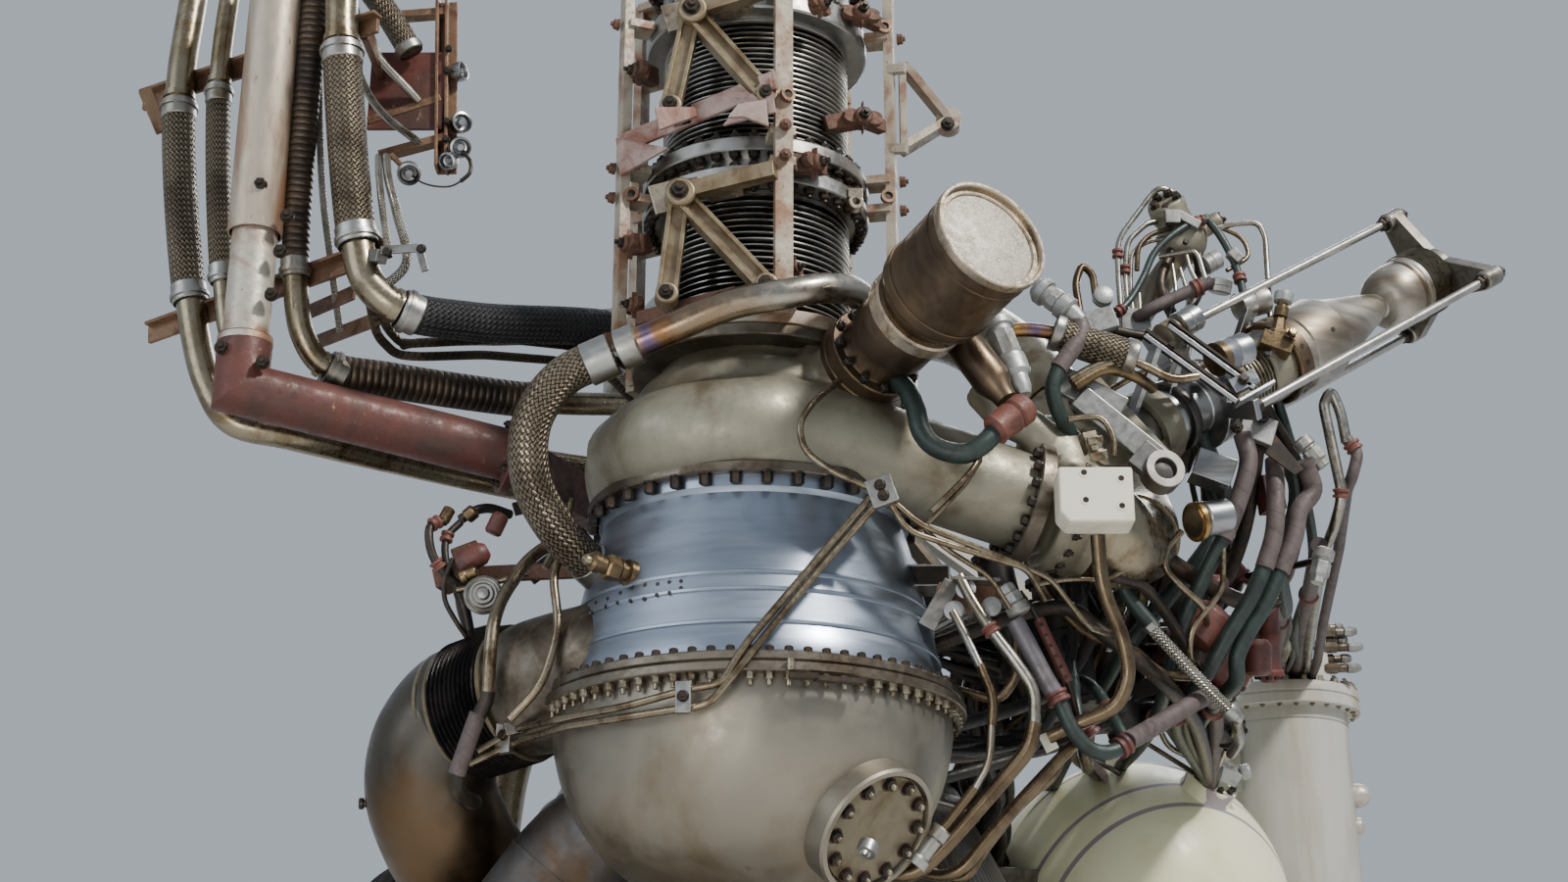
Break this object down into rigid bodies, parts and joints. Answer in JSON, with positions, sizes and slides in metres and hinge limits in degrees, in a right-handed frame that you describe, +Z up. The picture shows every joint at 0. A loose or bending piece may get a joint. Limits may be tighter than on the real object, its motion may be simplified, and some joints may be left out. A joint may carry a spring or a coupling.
{
  "type": "liquid-propellant rocket engine",
  "caption": "Large hydrogen and oxygen rocket engine with a bell nozzle, turbopumps, ducts, service lines and a gimbal that tilts the engine both ways.",
  "frame": {"origin": "centre of the gimbal's top face, where the engine bolts to its vehicle", "axes": "+Z up along the nozzle axis, -Y towards the oxidiser turbopump, +X towards the start sphere"},
  "size_m": [2.3875, 2.3555, 3.38],
  "materials": {
    "nozzle": "tube wall steel, heat stained",
    "casting": "rough cast alloy",
    "casing": "smooth brushed steel",
    "bowl": "satin steel with brown patina",
    "flange": "machined steel, dirty",
    "heat": "heat tinted steel",
    "bellows": "blackened bellows",
    "silver": "bright steel",
    "rust": "worn grey paint over rust",
    "primer": "dark red primer with rust",
    "bronze": "bronze casting with bright edges",
    "braid": "woven steel braid",
    "can": "dark heat-browned steel",
    "cream": "cream paint",
    "sphere": "pale cream-green paint with two grey stripes",
    "tank": "light grey paint",
    "polished": "polished metal",
    "galvanised": "galvanised tube with orange rust",
    "pipe": "brown-gold stainless pipe"
  },
  "bodies": {
    "engine": {"nozzle_bell": "nozzle", "exhaust_manifold": "heat", "fuel_manifold": "silver", "chamber_body": "nozzle", "injector_dome": "silver", "gimbal_lower_seat": "silver", "exhaust_bowl": "bowl", "manhole_cover": "bowl", "turbine_flange": "flange", "turbine_casing": "casing", "pump_volute": "casting", "inlet_bellows_lower": "silver", "inlet_mid_ring": "flange", "inlet_bellows_upper": "silver", "inlet_top_duct": "flange", "lock_cage": "rust", "wishbone_upper": "bronze", "wishbone_lower": "bronze", "cage_gusset_band": "rust", "cage_vee_bracket": "rust", "capped_duct": "can", "bleed_pipe": "silver", "bleed_hose": "braid", "discharge_valve": "casting", "main_duct": "pipe", "junction_box": "cream", "actuator_body": "polished", "actuator_cone": "polished", "actuator_bellows": "silver", "actuator_spider": "bronze", "actuator_clamp": "silver", "actuator_fork": "casting", "pilot_valve_upper": "polished", "pilot_valve_lower": "polished", "valve_cluster": "casting", "start_sphere": "sphere", "sphere_saddle": "flange", "sphere_stay": "flange", "grey_tank": "tank", "tank_bracket": "flange", "service_line_a": "braid", "service_line_b": "braid", "service_line_c": "braid", "service_line_d": "braid", "line_post": "galvanised", "line_beam": "primer", "panel_frame": "rust", "turbine_inlet": "casting", "crossover_bellows": "bellows", "fuel_turbopump": "casting", "fuel_inlet_duct": "silver", "fuel_feed_duct": "pipe", "crossover_elbow": "heat", "crossover_duct": "heat", "exhaust_duct": "silver", "sensor_block": "rust"},
    "gimbal_cross": {"gimbal_cross": "polished"},
    "gimbal_upper_seat": {"gimbal_upper_seat": "silver"}
  },
  "joints": [
    {"name": "gimbal_pitch", "type": "hinge", "parent": "engine", "child": "gimbal_cross", "pos_m": [0, 0, -0.135], "axis": [1, 0, 0], "range_deg": [-7, 7]},
    {"name": "gimbal_yaw", "type": "hinge", "parent": "gimbal_cross", "child": "gimbal_upper_seat", "pos_m": [0, 0, -0.135], "axis": [0, 1, 0], "range_deg": [-7, 7]}
  ]
}
